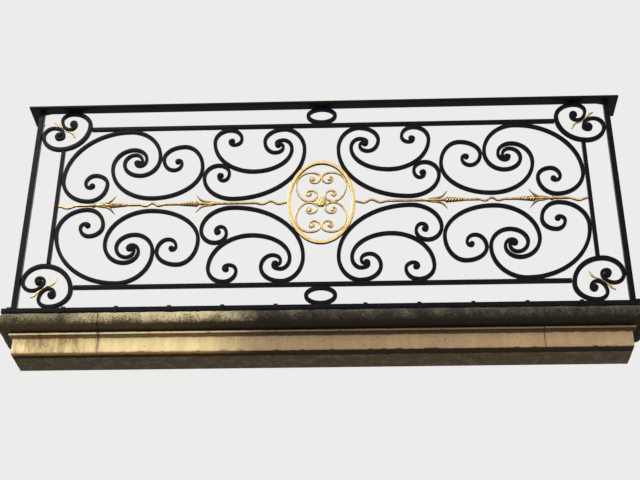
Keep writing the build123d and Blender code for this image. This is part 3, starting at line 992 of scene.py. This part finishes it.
oval_half, oval_reach, oval_mid = 64, 41.2, 426.5
oval_bar = bar * 0.99
hoop_bar = Shell()
oval_hoop(
    hoop_bar, oval_half - bar / 2, oval_reach - bar / 2, panel_mid + oval_mid,
    oval_bar, oval_bar, bar_soft, 72,
)
bottom_and_top("oval_hoop", "oval", hoop_bar)

# Medallion: an iron hoop set on edge, gilt on its front edge only, round an ornament of eight
# small scrolls in thin bar, gilt in front and black on its sides, with ties to the hoop.

gilding = gold_leaf("gold_leaf", rgb(222, 182, 106), rgb(255, 227, 160), 0.45, 0.85)

ring_half_x, ring_half_z, ring_face, ring_depth = 137, 196, 13.5, 14
hoop = Shell()
oval_hoop(
    hoop, ring_half_x - ring_face / 2, ring_half_z - ring_face / 2, panel_mid,
    ring_face, ring_depth, 1.8, 144,
)


def gild_front(shell, gilt_back):
    """Leaves gilt the faces that lie wholly in front of the given depth, and blackens the rest."""
    for k, face in enumerate(shell.faces):
        shell.finish[k] = 0 if max(shell.points[j][1] for j in face) < gilt_back else 1


gild_front(hoop, rail_y - ring_depth / 2 + 2.4)
make_piece("medallion_hoop", hoop, (gilding, black_iron), "medallion_ring")

small_bar, small_eye = 8, 9
quarter = Shell()
bent_bar(quarter, [
    ("T", 35, 121, 2.5), ("R", 47, 109, 3), ("B", 28, 90, 3.5), ("L", 2.8, 116, 4),
    ("T", 42, 141, 4), ("R", 101, 80, 4), ("B", 48, 2.8, 4), ("L", 16, 30, 4),
    ("T", 42, 54, 3.5), ("R", 60, 38, 3), ("B", 47, 27, 2.5),
], small_bar, 1.4)
turned_eye(quarter, 34, 110, 10, small_eye)
turned_eye(quarter, 46, 37, 9, small_eye)
signs = [(across, up) for up in (1, -1) for across in (1, -1)]
ornament = Shell()
for across, up in signs:
    turned = [(across * x, y, panel_mid + up * (z - panel_mid)) for x, y, z in quarter.points]
    ornament.add(turned, quarter.faces if up * across > 0 else [face[::-1] for face in quarter.faces])
gild_front(ornament, rail_y - 2.2)

tie_x, tie_z, tie_turn = 95, 130.4, math.radians(50)
tie_half_deep, tie_half_wide, tie_soft = 3.5, 3, 0.8
for across, up in signs:
    foot = Vector((across * tie_x, rail_y, panel_mid + up * tie_z))
    lean_in = Vector((across * math.cos(tie_turn), 0, up * math.sin(tie_turn)))
    aside = Vector((-up * across * lean_in.z, 0, lean_in.x)) * tie_half_wide
    deep = Vector((0, tie_half_deep, 0))
    rounded_bar(ornament, [(foot + lean_in * s, deep, aside) for s in (-15, -5, 5, 11)], tie_soft, 1)
make_piece("medallion_ornament", ornament, (darker_gilding, black_iron), "medallion_scrolls")

# Rosette: a gilt button of eight petals round a raised middle, chased in thick sheet and riveted
# over the crossing of the small scrolls.

button, button_thick = 21.8, 14
half_petals, notch = 4, 0.13
dome, dome_foot = 0.33, 0.32
points, rings, around = [], 14, 96
for k in range(1, rings + 1):
    part = k / rings
    for j in range(around):
        spin = math.tau * j / around
        petal = abs(math.sin(half_petals * spin)) ** 0.5
        reach = button * part * (1 - notch * part ** 3 * (1 - petal))
        swell = math.sqrt(max(0, 1 - part ** 3)) * (0.55 + 0.45 * petal * min(1, 2.2 * part))
        rise = button_thick / 2 * (0.25 + 0.75 * swell)
        if part < dome_foot:
            rise = button_thick / 2 * (0.62 + 0.38 * math.sqrt(1 - (part / dome) ** 2))
        points.append((reach * math.cos(spin), rail_y - rise, panel_mid + reach * math.sin(spin)))
points += [(x, rail_y + button_thick / 2, z) for x, y, z in points[-around:]]
points.append((0, rail_y - button_thick / 2, panel_mid))
faces = [[p, s, r, q] for p, q, r, s in skin(rings + 1, around)]
faces += [[j, (j + 1) % around, len(points) - 1] for j in range(around)]
faces.append([rings * around + j for j in range(around)][::-1])
rosette = Shell()
rosette.add(points, faces)
make_piece("medallion_button", rosette, (gilding,), "medallion_rosette", 50)

# Gilt bar: a round rod hammered to waves at its ends and middle, with square lengths twisted hot,
# a round knob, and pairs of thorns split out of the rod, their leaf rubbed duller.

rubbed_gilding = gold_leaf("rubbed_gold_leaf", rgb(98, 72, 40), rgb(204, 166, 100), 0.75, 0.95)

rod, rod_start, rod_end = 11, 137.3, 1063.7
crests = [
    (rod_start, 0), (171, -6.8), (202, 6.8), (237, -6.8), (268, 0), (630, 0), (655, -6.5), (682, 6.5),
    (709, -6.5), (735, 0), (985, 0), (1026, -11.5), (rod_end, -1),
]


def rise_at(x):
    """How high the rod's middle runs there, along its waves."""
    for (x0, z0), (x1, z1) in zip(crests, crests[1:]):
        if x <= x1:
            return z0 + (z1 - z0) * (1 - math.cos(math.pi * (x - x0) / (x1 - x0))) / 2
    return crests[-1][1]


# Each twist is its start, its end, its ridges and whether it is thick at the start. Each knob is
# its middle, its half length and its half thickness.
twists = ((497, 572, 6.5, True), (785, 853, 6, False))
knobs = ((920, 9.5, 9.8), (431, 14, 8.2), (888, 20, 7.4))
run_in, run_in_full = 5, 9
plain_pace, twist_pace = 2.4, 1.2
columns = [rod_start]
while columns[-1] < rod_end:
    twisted = any(x0 - run_in <= columns[-1] <= x1 + run_in for x0, x1, ridges, thick_start in twists)
    columns.append(min(rod_end, columns[-1] + (twist_pace if twisted else plain_pace)))
points, around = [], 32
for x in columns:
    swell = phase = wrung = 0
    for x0, x1, ridges, thick_start in twists:
        if x0 - run_in <= x <= x1 + run_in:
            part = min(1, max(0, (x - x0) / (x1 - x0)))
            wrung = min(1, (x - x0 + run_in) / run_in_full, (x1 + run_in - x) / run_in_full)
            swell = (1 - part if thick_start else part) * 6.4 + 1.3
            phase = math.pi * ridges * part
    half = rod / 2 - (0.5 if abs(rise_at(x)) > 0.01 else 0)
    upright = math.hypot(1, rise_at(x + 0.5) - rise_at(x - 0.5))
    for knob_x, knob_reach, knob_half in knobs:
        if abs(x - knob_x) < knob_reach:
            half = max(half, knob_half * math.sqrt(1 - ((x - knob_x) / knob_reach) ** 2))
    for j in range(around):
        angle = math.tau * j / around
        ridge = abs(math.cos(2 * angle + phase)) ** 1.2
        radius = (half + wrung * swell) * (1 - wrung * 0.3 * (1 - ridge))
        z = rise_at(x) + radius * upright * math.sin(angle)
        points.append((x, rail_y + radius * math.cos(angle), panel_mid + z))
gilt_bar = Shell()
gilt_bar.add(points, skin(len(columns), around) + caps(len(columns), around))

thorns = (
    [(913, 2), (888, 6), (868, 9), (850, 20), (840, 32), (831, 45)],
    [(414, 2), (440, 6), (466, 9), (486, 18), (497, 31), (505, 42)],
)
for thorn in thorns:
    for up in (1, -1):
        route = smooth_path([Vector((x, rail_y, panel_mid + up * z)) for x, z in thorn], 6)
        share = [k / (len(route) - 1) for k in range(len(route))]
        halves = [1 + 4.6 * (1 - s ** 2.6) * min(1, 0.4 + 2.4 * s) for s in share]
        drawn_rod(gilt_bar, route, halves, [min(4, 1.05 * half) for half in halves], finish=1)
left_and_right("gilt_bar_rod", "gilt_bar", gilt_bar, (darker_gilding, rubbed_gilding), 50)
